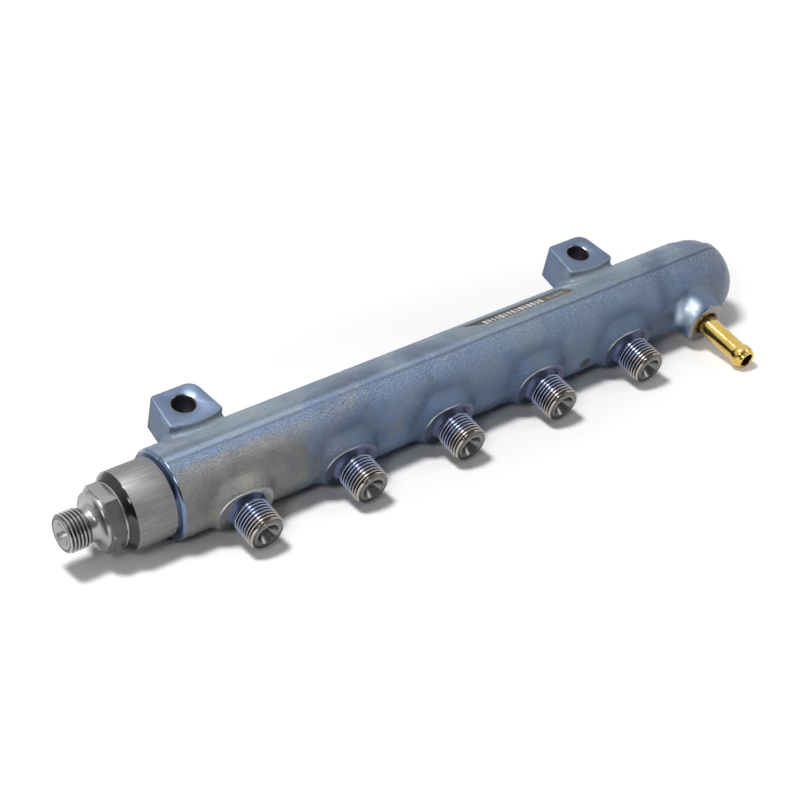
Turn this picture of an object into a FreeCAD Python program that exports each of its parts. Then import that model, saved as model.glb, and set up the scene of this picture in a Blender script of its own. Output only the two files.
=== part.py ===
import FreeCAD, Part
import math
import os
import Sketcher
from FreeCAD import Placement, Rotation, Vector

# Fuel rail: a forged tube with five threaded stubs, two bolt lugs, a screwed inlet and a return nipple.
# Local frame of every piece: X along the rail's bore, the stubs point to -Y and the lugs stand at +Y.
# The finished pieces are placed so that the origin lies midway between the two bolt holes,
# on the plane of the lugs' seating faces, with +Z along the bolts.

# Driving dimensions in millimetres, or degrees where the name says angle
SIZES = {
    # Row of stubs
    "stub_count": 5,
    "stub_pitch": 44.0,
    # Forged body, lengths counted from the outer stubs' axes
    "body_radius": 16.8,
    "parting_step": 0.3,
    "parting_angle": 7.0,
    "inlet_margin": 23.3,
    "end_margin": 64.9,
    "shoulder_chamfer": 1.0,
    "dome_radius": 13.2,
    "cap_length": 14.9,
    "cap_slope": 3.5,
    "cap_step": 0.7,
    # Turned collar at the inlet end
    "collar_inset": 2.5,
    "collar_length": 17.7,
    "collar_chamfer": 2.2,
    "ring_inset": 2.0,
    "ring_length": 0.8,
    # Stubs and the oval pads that they stand on, which swell out of the forging
    "pad_half_length": 11.3,
    "pad_half_width": 8.5,
    "pad_root_half_length": 25.0,
    "pad_root_inset": 1.8,
    "pad_rise": 2.5,
    "pad_edge": 0.3,
    "pad_fillet": 4.0,
    "stub_radius": 7.0,
    "stub_length": 13.0,
    "stub_chamfer": 0.8,
    "stub_ring_radius": 7.5,
    "stub_ring_length": 1.3,
    "seat_mouth_radius": 4.2,
    "seat_depth": 5.2,
    "stub_drill_radius": 1.2,
    # Boss for the return nipple, counted from the last stub
    "nipple_outset": 38.7,
    "boss_radius": 8.6,
    "boss_rise": 6.5,
    "boss_root_radius": 13.5,
    "boss_edge": 0.6,
    "boss_fillet": 3.5,
    "mouth_radius": 5.2,
    "mouth_depth": 1.2,
    "passage_radius": 1.25,
    # Return nipple, a tube pressed into the boss
    "nipple_radius": 4.0,
    "nipple_bore_radius": 2.8,
    "nipple_length": 23.4,
    "nipple_seat": 8.0,
    "bead_radius": 4.7,
    "bead_length": 2.2,
    "bead_slope": 1.1,
    "bead_from_tip": 1.6,
    "nipple_tip_radius": 3.8,
    # Bolt lugs
    "lug_outset": 2.4,
    "lug_hole_gap": 2.5,
    "lug_rise": 0.4,
    "lug_thickness": 13.7,
    "lug_inlet_root": 10.3,
    "lug_inlet_back": 8.7,
    "lug_end_root": 11.3,
    "lug_end_back": 9.1,
    "lug_back_reach": 8.3,
    "lug_front_reach": 7.7,
    "lug_front_radius": 30.0,
    "lug_front_corner": 1.2,
    "lug_inlet_corner": 2.0,
    "lug_end_corner": 4.5,
    "lug_edge_round": 0.8,
    "lug_fillet": 2.0,
    "lug_hole_radius": 4.25,
    "lug_hole_chamfer": 0.4,
    "bolt_relief": 12.0,
    # Bore of the rail and the socket for the inlet fitting
    "bore_radius": 5.0,
    "end_wall": 12.9,
    "socket_radius": 8.0,
    "socket_depth": 13.0,
    "socket_clearance": 0.5,
    # Inlet fitting, lengths counted from the collar's end face
    "flange_radius": 11.7,
    "flange_thickness": 0.8,
    "hex_across": 21.0,
    "hex_turn": 47.0,
    "hex_length": 5.0,
    "nose_radius": 10.4,
    "nose_length": 1.3,
    "flare_length": 2.6,
    "flare_bend": 0.8,
    "flare_bend_radius": 7.8,
    "neck_radius": 6.1,
    "neck_length": 1.0,
    "inlet_thread_radius": 7.0,
    "inlet_thread_length": 8.2,
    "inlet_drill_radius": 1.6,
    # Milled recess for the label, on the top of the back half
    "recess_angle": 66.0,
    "recess_inset": 11.7,
    "recess_length": 55.3,
    "recess_taper": 12.0,
    "recess_width": 6.3,
    "recess_depth": 0.9,
    # Hardness test dent beside the last stub
    "dent_inset": 19.2,
    "dent_angle": 7.0,
    "dent_ball_radius": 5.0,
    "dent_depth": 0.8,
}

SHEET = "Sizes"

# How near to a surface a point counts as on it when edges are picked
NEAR = 0.02


class Length:
    """A length held as its number and as the spreadsheet expression that gives it."""

    def __init__(self, number, text):
        self.number = number
        self.text = text

    def __add__(self, other):
        return Length(self.number + number_of(other), f"({self.text} + {text_of(other)})")

    def __sub__(self, other):
        return Length(self.number - number_of(other), f"({self.text} - {text_of(other)})")

    def __mul__(self, other):
        return Length(self.number * number_of(other), f"({self.text} * {text_of(other)})")

    def __truediv__(self, other):
        return Length(self.number / number_of(other), f"({self.text} / {text_of(other)})")

    def __neg__(self):
        return Length(-self.number, f"(-1 * {self.text})")


def number_of(value):
    return value.number if isinstance(value, Length) else float(value)


def text_of(value):
    return value.text if isinstance(value, Length) else repr(float(value))


def size(name):
    return Length(float(SIZES[name]), f"{SHEET}.{name}")


def add_sheet(doc):
    """Write every driving dimension into a spreadsheet cell that carries its alias."""
    sheet = doc.addObject("Spreadsheet::Sheet", SHEET)
    for row, (name, value) in enumerate(SIZES.items(), start=1):
        sheet.set(f"A{row}", name)
        sheet.set(f"B{row}", str(value))
        sheet.setAlias(f"B{row}", name)
    doc.recompute()


# Sketch helpers

def origin_plane(body, role):
    return next(item for item in body.Origin.OriginFeatures if item.Role == role)


def new_body(doc, label):
    body = doc.addObject("PartDesign::Body", label)
    body.Label = label
    body.AllowCompound = True
    return body


def new_sketch(body, name, role, offset=(0, 0, 0), angle=0):
    """Attach a sketch to an origin plane, shifted by lengths and turned about its own X by an angle."""
    sketch = body.newObject("Sketcher::SketchObject", name)
    sketch.AttachmentSupport = [(origin_plane(body, role), "")]
    sketch.MapMode = "FlatFace"
    shift = Vector(*(number_of(value) for value in offset))
    sketch.AttachmentOffset = Placement(shift, Rotation(Vector(1, 0, 0), number_of(angle)))
    for axis, value in zip("xyz", offset):
        if isinstance(value, Length):
            sketch.setExpression(f".AttachmentOffset.Base.{axis}", value.text)
    if isinstance(angle, Length):
        sketch.setExpression(".AttachmentOffset.Rotation.Angle", angle.text)
    return sketch


def drive(sketch, constraint, value):
    """Add a dimension to a sketch and bind it to its expression."""
    index = sketch.addConstraint(constraint)
    if isinstance(value, Length):
        sketch.setExpression(f"Constraints[{index}]", value.text)


def pin_point(sketch, geometry, end, x, y):
    """Fix a point of the sketch at a place measured from the sketch's origin."""
    for value, kind, axis in ((x, "DistanceX", -2), (y, "DistanceY", -1)):
        if number_of(value) == 0:
            sketch.addConstraint(Sketcher.Constraint("PointOnObject", geometry, end, axis))
        else:
            distance = Sketcher.Constraint(kind, -1, 1, geometry, end, number_of(value))
            drive(sketch, distance, value)


def arc_between(start, end, radius, bulge):
    """A circular arc between two points, curving to the left of the way for bulge 1 and right for -1.

    It is drawn anticlockwise, so an arc with bulge 1 runs from the end to the start."""
    half = (end - start) * 0.5
    side = Vector(-half.y, half.x, 0).normalize()
    height = math.sqrt(max(radius * radius - half.Length * half.Length, 0.0))
    centre = start + half - side * (bulge * height)
    first, last = (end, start) if bulge > 0 else (start, end)
    angles = [math.atan2(point.y - centre.y, point.x - centre.x) for point in (first, last)]
    if angles[1] < angles[0]:
        angles[1] += 2 * math.pi
    return Part.ArcOfCircle(Part.Circle(centre, Vector(0, 0, 1), radius), *angles)


def draw_outline(sketch, corners):
    """Draw a closed outline of straight runs and arcs.

    Each corner is (x, y), or (x, y, radius, bulge) where an arc runs from it to the next corner."""
    places = [Vector(number_of(corner[0]), number_of(corner[1]), 0) for corner in corners]
    ends = []
    for index, corner in enumerate(corners):
        start = places[index]
        end = places[(index + 1) % len(corners)]
        if len(corner) == 2:
            geometry = sketch.addGeometry(Part.LineSegment(start, end), False)
            ends.append((geometry, 1, 2))
            continue
        radius, bulge = corner[2], corner[3]
        geometry = sketch.addGeometry(arc_between(start, end, number_of(radius), bulge), False)
        drive(sketch, Sketcher.Constraint("Radius", geometry, number_of(radius)), radius)
        ends.append((geometry, 2, 1) if bulge > 0 else (geometry, 1, 2))
    for index, corner in enumerate(corners):
        before = ends[index - 1]
        after = ends[index]
        sketch.addConstraint(Sketcher.Constraint("Coincident", before[0], before[2], after[0], after[1]))
        pin_point(sketch, after[0], after[1], corner[0], corner[1])


def draw_circle(sketch, x, y, radius):
    circle = Part.Circle(Vector(number_of(x), number_of(y), 0), Vector(0, 0, 1), number_of(radius))
    geometry = sketch.addGeometry(circle, False)
    drive(sketch, Sketcher.Constraint("Radius", geometry, number_of(radius)), radius)
    pin_point(sketch, geometry, 3, x, y)


# Feature helpers

def revolve(body, name, kind, sketch, axis, angle=360.0, backwards=False):
    feature = body.newObject(kind, name)
    feature.Profile = sketch
    feature.ReferenceAxis = (sketch, [axis])
    feature.Angle = angle
    feature.Reversed = backwards
    sketch.Visibility = False
    return feature


def extrude(body, name, kind, sketch, length, backwards=False):
    feature = body.newObject(kind, name)
    feature.Profile = sketch
    feature.Length = number_of(length)
    feature.setExpression("Length", text_of(length))
    feature.Reversed = backwards
    return feature


def row_of(doc, body, name, originals, sketch, length, count):
    """Repeat features along X, the last one at the given length from the first."""
    pattern = body.newObject("PartDesign::LinearPattern", name)
    pattern.Originals = originals
    pattern.Direction = (sketch, ["H_Axis"])
    pattern.Length = number_of(length)
    pattern.setExpression("Length", text_of(length))
    pattern.Occurrences = int(number_of(count))
    pattern.setExpression("Occurrences", text_of(count))
    body.Tip = pattern
    doc.recompute()


def edges_where(shape, test):
    """Names of the edges whose sample points all pass the test."""
    names = []
    for index, edge in enumerate(shape.Edges, start=1):
        if edge.Degenerated:
            continue
        first, last = edge.ParameterRange
        points = [edge.valueAt(first + (last - first) * step / 6) for step in range(7)]
        if all(test(point) for point in points):
            names.append(f"Edge{index}")
    return names


def dress(doc, body, name, kind, test, value):
    """Round or chamfer the edges of the finished shape that pass a test."""
    base = body.Tip
    edges = edges_where(base.Shape, test)
    if not edges:
        raise RuntimeError(f"{name}: no edge found")
    feature = body.newObject(kind, name)
    feature.Base = (base, edges)
    property_name = "Radius" if kind.endswith("Fillet") else "Size"
    setattr(feature, property_name, number_of(value))
    feature.setExpression(property_name, text_of(value))
    body.Tip = feature
    doc.recompute()


# Places along the rail, worked out from the driving dimensions

def row_half():
    return size("stub_pitch") * (size("stub_count") - 1) / 2


def shoulder_x():
    return -(row_half() + size("inlet_margin"))


def collar_x():
    return shoulder_x() - size("collar_length")


def end_x():
    return row_half() + size("end_margin")


def nipple_x():
    return row_half() + size("nipple_outset")


def lug_x():
    return row_half() + size("lug_outset")


# Heights above the bore's axis, which follow the body's radius

def back_radius():
    return size("body_radius") - size("parting_step")


def pad_height():
    return size("body_radius") + size("pad_rise")


def stub_height():
    return pad_height() + size("stub_length")


def boss_height():
    return size("body_radius") + size("boss_rise")


def nipple_height():
    return boss_height() + size("nipple_length")


def lug_top():
    return size("body_radius") + size("lug_rise")


def lug_bottom():
    return lug_top() - size("lug_thickness")


def lug_offset():
    return size("body_radius") + size("lug_hole_gap")


# Rail body

def half_profile(body, name, radius, angle, cap=()):
    """Half section of the forging from the shoulder to the domed end, past the corners of a slimmer cap."""
    sketch = new_sketch(body, name, "XZ_Plane", angle=angle)
    shoulder, end = shoulder_x(), end_x()
    chamfer, dome = size("shoulder_chamfer"), size("dome_radius")
    top = cap[-1][1] if cap else radius
    draw_outline(sketch, [
        (shoulder, 0),
        (shoulder, radius - chamfer),
        (shoulder + chamfer, radius),
        *cap,
        (end - dome, top, dome, 1),
        (end, top - dome),
        (end, 0),
    ])
    return sketch


def add_forging(doc, body):
    """Front and back halves of the forging, with the small step that the dies leave at the parting line."""
    front = half_profile(body, "FrontHalfProfile", size("body_radius"), -size("parting_angle"))
    revolve(body, "FrontHalf", "PartDesign::Revolution", front, "H_Axis", 180.0, False)
    # The back half falls away to a slightly slimmer cap before the domed end
    slope, step = size("cap_slope"), size("cap_step")
    start = end_x() - size("cap_length")
    round_off = (slope * slope + step * step) / step / 2
    cap = [(start - slope, back_radius(), round_off, 1), (start, back_radius() - step)]
    back = half_profile(body, "BackHalfProfile", back_radius(), -size("parting_angle"), cap)
    revolve(body, "BackHalf", "PartDesign::Revolution", back, "H_Axis", 180.0, True)
    doc.recompute()


def add_collar(doc, body):
    """Turned collar with a chamfered end and a low ring against the shoulder."""
    sketch = new_sketch(body, "CollarProfile", "XZ_Plane")
    shoulder, end = shoulder_x(), collar_x()
    chamfer, radius = size("collar_chamfer"), size("body_radius") - size("collar_inset")
    inside, ring = shoulder + size("shoulder_chamfer"), size("body_radius") - size("ring_inset")
    draw_outline(sketch, [
        (end, 0),
        (end, radius - chamfer),
        (end + chamfer, radius),
        (shoulder - size("ring_length"), radius),
        (shoulder - size("ring_length"), ring),
        (inside, ring),
        (inside, 0),
    ])
    revolve(body, "Collar", "PartDesign::Revolution", sketch, "H_Axis")
    doc.recompute()


def draw_oval(sketch, half_length, half_width):
    """Draw an oval with straight flanks and round ends."""
    straight = half_length - half_width
    draw_outline(sketch, [
        (-half_length, 0, half_width, 1),
        (-straight, half_width),
        (straight, half_width, half_width, 1),
        (half_length, 0, half_width, 1),
        (straight, -half_width),
        (-straight, -half_width, half_width, 1),
    ])


def add_stubs(doc, body):
    """Oval pads with a faced front, each carrying a plain cylinder of the thread's outer size."""
    first = -row_half()
    root = new_sketch(body, "PadRootOutline", "XZ_Plane", offset=(first, 0, 0))
    draw_oval(root, size("pad_root_half_length"), size("body_radius") - size("pad_root_inset"))
    face = new_sketch(body, "PadFaceOutline", "XZ_Plane", offset=(first, 0, pad_height()))
    draw_oval(face, size("pad_half_length"), size("pad_half_width"))
    pad = body.newObject("PartDesign::AdditiveLoft", "StubPad")
    pad.Profile = root
    pad.Sections = [face]
    pad.Ruled = True
    doc.recompute()

    sketch = new_sketch(body, "StubProfile", "XY_Plane", offset=(first, 0, 0))
    ring, stub, chamfer = size("stub_ring_radius"), size("stub_radius"), size("stub_chamfer")
    base, tip = -(pad_height() + size("stub_ring_length")), -stub_height()
    draw_outline(sketch, [
        (0, 0),
        (ring, 0),
        (ring, base),
        (stub, base),
        (stub, tip + chamfer),
        (stub - chamfer, tip),
        (0, tip),
    ])
    stub_feature = revolve(body, "Stub", "PartDesign::Revolution", sketch, "V_Axis")
    doc.recompute()
    length = size("stub_pitch") * (size("stub_count") - 1)
    row_of(doc, body, "StubRow", [pad, stub_feature], sketch, length, size("stub_count"))


def add_nipple_boss(doc, body):
    sketch = new_sketch(body, "NippleBossProfile", "XY_Plane", offset=(nipple_x(), 0, 0))
    radius, edge, face = size("boss_radius"), size("boss_edge"), -boss_height()
    draw_outline(sketch, [
        (0, 0),
        (size("boss_root_radius"), 0),
        (radius, face + edge),
        (radius - edge, face),
        (0, face),
    ])
    revolve(body, "NippleBoss", "PartDesign::Revolution", sketch, "V_Axis")
    doc.recompute()


def on_body_surface(point):
    """True on the front half of the forging's round surface."""
    distance = math.hypot(point.y, point.z)
    return abs(distance - SIZES["body_radius"]) < NEAR and point.y < 0


def add_root_fillets(doc, body):
    """Break the pads' edges, and blend the pads and the nipple boss into the forging."""
    first = -number_of(row_half())
    pitch = SIZES["stub_pitch"]
    pad_reach = SIZES["pad_half_length"] + 2 * SIZES["pad_rise"]
    boss_reach = SIZES["boss_radius"] + SIZES["boss_rise"]

    def from_stub(point):
        nearest = min(max(round((point.x - first) / pitch), 0), SIZES["stub_count"] - 1)
        return abs(point.x - first - nearest * pitch)

    def at_pad_edge(point):
        beyond_ring = math.hypot(from_stub(point), point.z) > SIZES["stub_ring_radius"] + NEAR
        return beyond_ring and abs(point.y + number_of(pad_height())) < NEAR

    def at_pad(point):
        return on_body_surface(point) and from_stub(point) < pad_reach and abs(point.z) < -point.y

    def at_boss(point):
        near_boss = abs(point.x - number_of(nipple_x())) < boss_reach and abs(point.z) < -point.y * 1.5
        return on_body_surface(point) and near_boss

    dress(doc, body, "PadEdges", "PartDesign::Chamfer", at_pad_edge, size("pad_edge"))
    dress(doc, body, "PadFillets", "PartDesign::Fillet", at_pad, size("pad_fillet"))
    dress(doc, body, "BossFillet", "PartDesign::Fillet", at_boss, size("boss_fillet"))


def add_lugs(doc, body):
    """Two bolt lugs whose outline narrows away from the body, rounded while they still stand alone."""
    sketch = new_sketch(body, "LugOutlines", "XY_Plane", offset=(0, lug_offset(), lug_bottom()))
    reach, front = size("lug_back_reach"), -size("lug_front_reach")
    for centre in (-lug_x(), lug_x()):
        draw_outline(sketch, [
            (centre - size("lug_inlet_root"), front),
            (centre - size("lug_inlet_back"), reach),
            (centre + size("lug_end_back"), reach),
            (centre + size("lug_end_root"), front, size("lug_front_radius"), 1),
        ])
    extrude(body, "Lugs", "PartDesign::Pad", sketch, lug_top() - lug_bottom())
    doc.recompute()

    def at_corner(point, x, y):
        across = abs(point.x - x - math.copysign(number_of(lug_x()), point.x))
        return math.hypot(across, point.y - number_of(lug_offset()) - y) < NEAR

    def at_front(point):
        sides = (-SIZES["lug_inlet_root"], SIZES["lug_end_root"])
        return any(at_corner(point, side, -SIZES["lug_front_reach"]) for side in sides)

    def at_inlet(point):
        return at_corner(point, -SIZES["lug_inlet_back"], SIZES["lug_back_reach"])

    def at_end(point):
        return at_corner(point, SIZES["lug_end_back"], SIZES["lug_back_reach"])

    def at_top(point):
        return abs(point.z - number_of(lug_top())) < NEAR

    dress(doc, body, "LugFrontCorners", "PartDesign::Fillet", at_front, size("lug_front_corner"))
    dress(doc, body, "LugInletCorners", "PartDesign::Fillet", at_inlet, size("lug_inlet_corner"))
    dress(doc, body, "LugEndCorners", "PartDesign::Fillet", at_end, size("lug_end_corner"))
    dress(doc, body, "LugEdges", "PartDesign::Fillet", at_top, size("lug_edge_round"))


def blend_lugs(doc, body):
    """Blend the lugs into the back half of the forging."""
    reach = SIZES["lug_end_root"] * 1.05
    half = number_of(lug_x())

    def at_root(point):
        near_lug = abs(abs(point.x) - half) < reach and point.y > 0
        return near_lug and abs(math.hypot(point.y, point.z) - number_of(back_radius())) < NEAR

    dress(doc, body, "LugFillets", "PartDesign::Fillet", at_root, size("lug_fillet"))


def cut_lug_holes(doc, body):
    """Bolt holes, which run on past the seating faces to clear the bolts beside the body."""
    offset = (0, lug_offset(), lug_top())
    sketch = new_sketch(body, "LugHoleCircles", "XY_Plane", offset=offset)
    draw_circle(sketch, -lug_x(), 0, size("lug_hole_radius"))
    draw_circle(sketch, lug_x(), 0, size("lug_hole_radius"))
    reach = lug_top() - lug_bottom() + size("bolt_relief")
    extrude(body, "LugHoles", "PartDesign::Pocket", sketch, reach)
    doc.recompute()


def chamfer_lug_holes(doc, body):
    """Light chamfer at the upper face of each bolt hole."""

    def at_rim(point):
        from_axis = math.hypot(abs(point.x) - number_of(lug_x()), point.y - number_of(lug_offset()))
        at_face = abs(point.z - number_of(lug_top())) < NEAR
        return at_face and abs(from_axis - SIZES["lug_hole_radius"]) < NEAR

    dress(doc, body, "LugHoleChamfers", "PartDesign::Chamfer", at_rim, size("lug_hole_chamfer"))


def cut_bore(doc, body):
    """Blind bore along the rail, opened at the inlet end to the socket of the fitting."""
    sketch = new_sketch(body, "BoreProfile", "XZ_Plane")
    mouth = collar_x()
    seat = mouth + size("socket_depth")
    end = end_x() - size("end_wall")
    bore, socket = size("bore_radius"), size("socket_radius")
    draw_outline(sketch, [
        (mouth, 0),
        (mouth, socket),
        (seat, socket),
        (seat + (socket - bore), bore),
        (end - bore / 2, bore),
        (end, 0),
    ])
    revolve(body, "Bore", "PartDesign::Groove", sketch, "H_Axis")
    doc.recompute()


def cut_stub_seats(doc, body):
    """Conical pipe seat and feed drilling in each stub."""
    sketch = new_sketch(body, "SeatProfile", "XY_Plane", offset=(-row_half(), 0, 0))
    tip = -stub_height()
    drill = size("stub_drill_radius")
    draw_outline(sketch, [
        (0, tip),
        (size("seat_mouth_radius"), tip),
        (drill, tip + size("seat_depth")),
        (drill, 0),
        (0, 0),
    ])
    seat = revolve(body, "StubSeat", "PartDesign::Groove", sketch, "V_Axis")
    doc.recompute()
    length = size("stub_pitch") * (size("stub_count") - 1)
    row_of(doc, body, "StubSeatRow", [seat], sketch, length, size("stub_count"))


def cut_nipple_socket(doc, body):
    """Socket for the pressed nipple, with a countersunk mouth and the passage to the bore."""
    sketch = new_sketch(body, "NippleSocketProfile", "XY_Plane", offset=(nipple_x(), 0, 0))
    face = -boss_height()
    bottom = face + size("nipple_seat")
    socket, passage = size("nipple_radius"), size("passage_radius")
    draw_outline(sketch, [
        (0, face),
        (size("mouth_radius"), face),
        (socket, face + size("mouth_depth")),
        (socket, bottom),
        (passage, bottom),
        (passage, 0),
        (0, 0),
    ])
    revolve(body, "NippleSocket", "PartDesign::Groove", sketch, "V_Axis")
    doc.recompute()


def cut_recess(doc, body):
    """Shallow milled recess for the label: round at the end side, running out at the inlet side."""
    end = row_half() - size("recess_inset")
    start = end - size("recess_length")
    half = size("recess_width") / 2
    sketch = body.newObject("Sketcher::SketchObject", "RecessOutline")
    sketch.AttachmentSupport = [(origin_plane(body, "XY_Plane"), "")]
    sketch.MapMode = "FlatFace"
    tilt = size("recess_angle") - 90.0
    turn = Rotation(Vector(1, 0, 0), number_of(tilt))
    normal = turn.multVec(Vector(0, 0, 1))
    sketch.AttachmentOffset = Placement(normal * number_of(back_radius()), turn)
    sketch.setExpression(".AttachmentOffset.Rotation.Angle", tilt.text)
    sketch.setExpression(".AttachmentOffset.Base.y", f"{back_radius().text} * cos({SHEET}.recess_angle)")
    sketch.setExpression(".AttachmentOffset.Base.z", f"{back_radius().text} * sin({SHEET}.recess_angle)")
    draw_outline(sketch, [
        (start + size("recess_taper"), -half),
        (end - half, -half, half, -1),
        (end, 0, half, -1),
        (end - half, half),
        (start, half),
    ])
    extrude(body, "Recess", "PartDesign::Pocket", sketch, size("recess_depth"))
    doc.recompute()


def cut_dent(doc, body):
    """Round dent that the hardness test leaves on the side."""
    dent = body.newObject("PartDesign::SubtractiveSphere", "HardnessDent")
    dent.Radius = SIZES["dent_ball_radius"]
    dent.setExpression("Radius", f"{SHEET}.dent_ball_radius")
    dent.AttachmentSupport = [(origin_plane(body, "XY_Plane"), "")]
    dent.MapMode = "FlatFace"
    reach = f"({SHEET}.body_radius + {SHEET}.dent_ball_radius - {SHEET}.dent_depth)"
    dent.setExpression(".AttachmentOffset.Base.x", (row_half() - size("dent_inset")).text)
    dent.setExpression(".AttachmentOffset.Base.y", f"-1 * {reach} * cos({SHEET}.dent_angle)")
    dent.setExpression(".AttachmentOffset.Base.z", f"-1 * {reach} * sin({SHEET}.dent_angle)")
    doc.recompute()


def build_rail_body(doc):
    body = new_body(doc, "rail_body")
    add_lugs(doc, body)
    add_forging(doc, body)
    blend_lugs(doc, body)
    add_collar(doc, body)
    add_stubs(doc, body)
    add_nipple_boss(doc, body)
    cut_lug_holes(doc, body)
    chamfer_lug_holes(doc, body)
    cut_bore(doc, body)
    cut_stub_seats(doc, body)
    cut_nipple_socket(doc, body)
    cut_recess(doc, body)
    cut_dent(doc, body)
    add_root_fillets(doc, body)
    return body


# Inlet fitting

def build_inlet_fitting(doc):
    """Screwed adapter: shank, flange, chamfered hexagon, flared neck and male pipe thread."""
    body = new_body(doc, "inlet_fitting")
    face = collar_x()
    flange = face - size("flange_thickness")
    hex_front = flange - size("hex_length")
    nose = hex_front - size("nose_length")
    neck = nose - size("flare_length")
    thread = neck - size("neck_length")
    tip = thread - size("inlet_thread_length")
    shank = face + size("socket_depth") - size("socket_clearance")
    chamfer = size("stub_chamfer")
    thread_radius, neck_radius = size("inlet_thread_radius"), size("neck_radius")
    flange_radius, shank_radius = size("flange_radius"), size("socket_radius")

    turned = new_sketch(body, "TurnedProfile", "XZ_Plane")
    draw_outline(turned, [
        (tip, 0),
        (tip, thread_radius - chamfer),
        (tip + chamfer, thread_radius),
        (thread, thread_radius),
        (thread + (thread_radius - neck_radius), neck_radius),
        (neck, neck_radius),
        (nose - size("flare_bend"), size("flare_bend_radius")),
        (nose, size("nose_radius")),
        (flange, size("nose_radius")),
        (flange, flange_radius),
        (face, flange_radius),
        (face, shank_radius),
        (shank - chamfer, shank_radius),
        (shank, shank_radius - chamfer),
        (shank, 0),
    ])
    revolve(body, "Turned", "PartDesign::Revolution", turned, "H_Axis")

    outline = new_sketch(body, "HexagonOutline", "YZ_Plane", offset=(0, 0, flange))
    corners = []
    for index in range(6):
        angle = size("hex_turn") + 60.0 * index
        corners.append((across_corner("cos", angle), across_corner("sin", angle)))
    draw_outline(outline, corners)
    extrude(body, "Hexagon", "PartDesign::Pad", outline, size("hex_length"), backwards=True)
    doc.recompute()

    cut = new_sketch(body, "HexagonChamferProfile", "XZ_Plane")
    outside = size("hex_across") * 0.6
    draw_outline(cut, [
        (hex_front, flange_radius),
        (hex_front, outside),
        (hex_front + (outside - flange_radius) / 2, outside),
    ])
    revolve(body, "HexagonChamfer", "PartDesign::Groove", cut, "H_Axis")

    drilling = new_sketch(body, "SeatProfile", "XZ_Plane")
    drill = size("inlet_drill_radius")
    draw_outline(drilling, [
        (tip, 0),
        (tip, size("seat_mouth_radius")),
        (tip + size("seat_depth"), drill),
        (shank, drill),
        (shank, 0),
    ])
    revolve(body, "Seat", "PartDesign::Groove", drilling, "H_Axis")
    doc.recompute()
    return body


def across_corner(function, angle):
    """Sine or cosine share of the hexagon's corner radius at an angle in degrees."""
    radius = size("hex_across") / 2 / Length(math.cos(math.radians(30)), "cos(30)")
    share = getattr(math, function)(math.radians(angle.number))
    return radius * Length(share, f"{function}({angle.text})")


# Return nipple

def build_return_nipple(doc):
    """Tube with a low bead near the tip, pressed into its boss."""
    body = new_body(doc, "return_nipple")
    sketch = new_sketch(body, "NippleProfile", "XY_Plane", offset=(nipple_x(), 0, 0))
    tip = -nipple_height()
    seat = -(boss_height() - size("nipple_seat"))
    outer, bore = size("nipple_radius"), size("nipple_bore_radius")
    bead, slope = size("bead_radius"), size("bead_slope")
    bead_tip = tip + size("bead_from_tip")
    draw_outline(sketch, [
        (bore, tip),
        (size("nipple_tip_radius"), tip),
        (bead, bead_tip),
        (bead, bead_tip + size("bead_length")),
        (outer, bead_tip + size("bead_length") + slope),
        (outer, seat),
        (bore, seat),
    ])
    revolve(body, "Tube", "PartDesign::Revolution", sketch, "V_Axis")
    doc.recompute()
    return body


# Checks and writing

def check_document(doc):
    for item in doc.Objects:
        if "Invalid" in item.State or "Error" in item.State:
            raise RuntimeError(f"{item.Name} did not build: {item.State}")


def write_part(body):
    """Check one finished piece and write it as its own file."""
    shape = body.Shape
    if shape.isNull() or not shape.isValid() or len(shape.Solids) != 1:
        raise RuntimeError(f"{body.Label} is not one valid solid")
    shape.exportStep(f"parts/{body.Label}.step")
    print(body.Label, round(shape.Volume), "cubic mm", len(shape.Faces), "faces")


def main():
    doc = FreeCAD.newDocument("fuel_rail")
    add_sheet(doc)
    bodies = [
        build_rail_body(doc),
        build_inlet_fitting(doc),
        build_return_nipple(doc),
    ]
    for body in bodies:
        body.setExpression(".Placement.Base.y", (-lug_offset()).text)
        body.setExpression(".Placement.Base.z", (-lug_bottom()).text)
    doc.recompute()
    check_document(doc)
    os.makedirs("parts", exist_ok=True)
    for body in bodies:
        write_part(body)


main()
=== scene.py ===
import math

import bmesh
import bpy
from mathutils import Matrix, Vector


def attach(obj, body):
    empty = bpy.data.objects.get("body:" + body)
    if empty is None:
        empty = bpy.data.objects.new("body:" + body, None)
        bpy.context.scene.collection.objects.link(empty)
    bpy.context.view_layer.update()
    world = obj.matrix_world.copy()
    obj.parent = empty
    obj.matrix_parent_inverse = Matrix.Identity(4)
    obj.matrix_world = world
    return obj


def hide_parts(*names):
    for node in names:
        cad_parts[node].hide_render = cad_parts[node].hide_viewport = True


bl_info = {
    "name": "Fuel Rail",
    "version": (1, 0, 0),
    "blender": (4, 5, 0),
    "location": "3D View > Sidebar > Fuel Rail",
    "description": "Builds the finishes and fine forms of a forged fuel rail around its solid frame",
    "category": "Add Mesh",
}

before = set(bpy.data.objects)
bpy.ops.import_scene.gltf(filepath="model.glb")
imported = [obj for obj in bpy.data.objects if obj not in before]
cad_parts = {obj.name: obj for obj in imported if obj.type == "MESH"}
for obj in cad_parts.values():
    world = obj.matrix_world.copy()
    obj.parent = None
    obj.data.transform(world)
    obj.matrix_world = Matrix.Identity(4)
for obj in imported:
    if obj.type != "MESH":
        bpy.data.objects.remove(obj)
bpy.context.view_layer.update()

MM = 0.001

# The frame's origin lies midway between the bolt holes, and the axis of the rail's bore runs here
AXIS_Y = -19.3 * MM
AXIS_Z = -3.5 * MM

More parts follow.
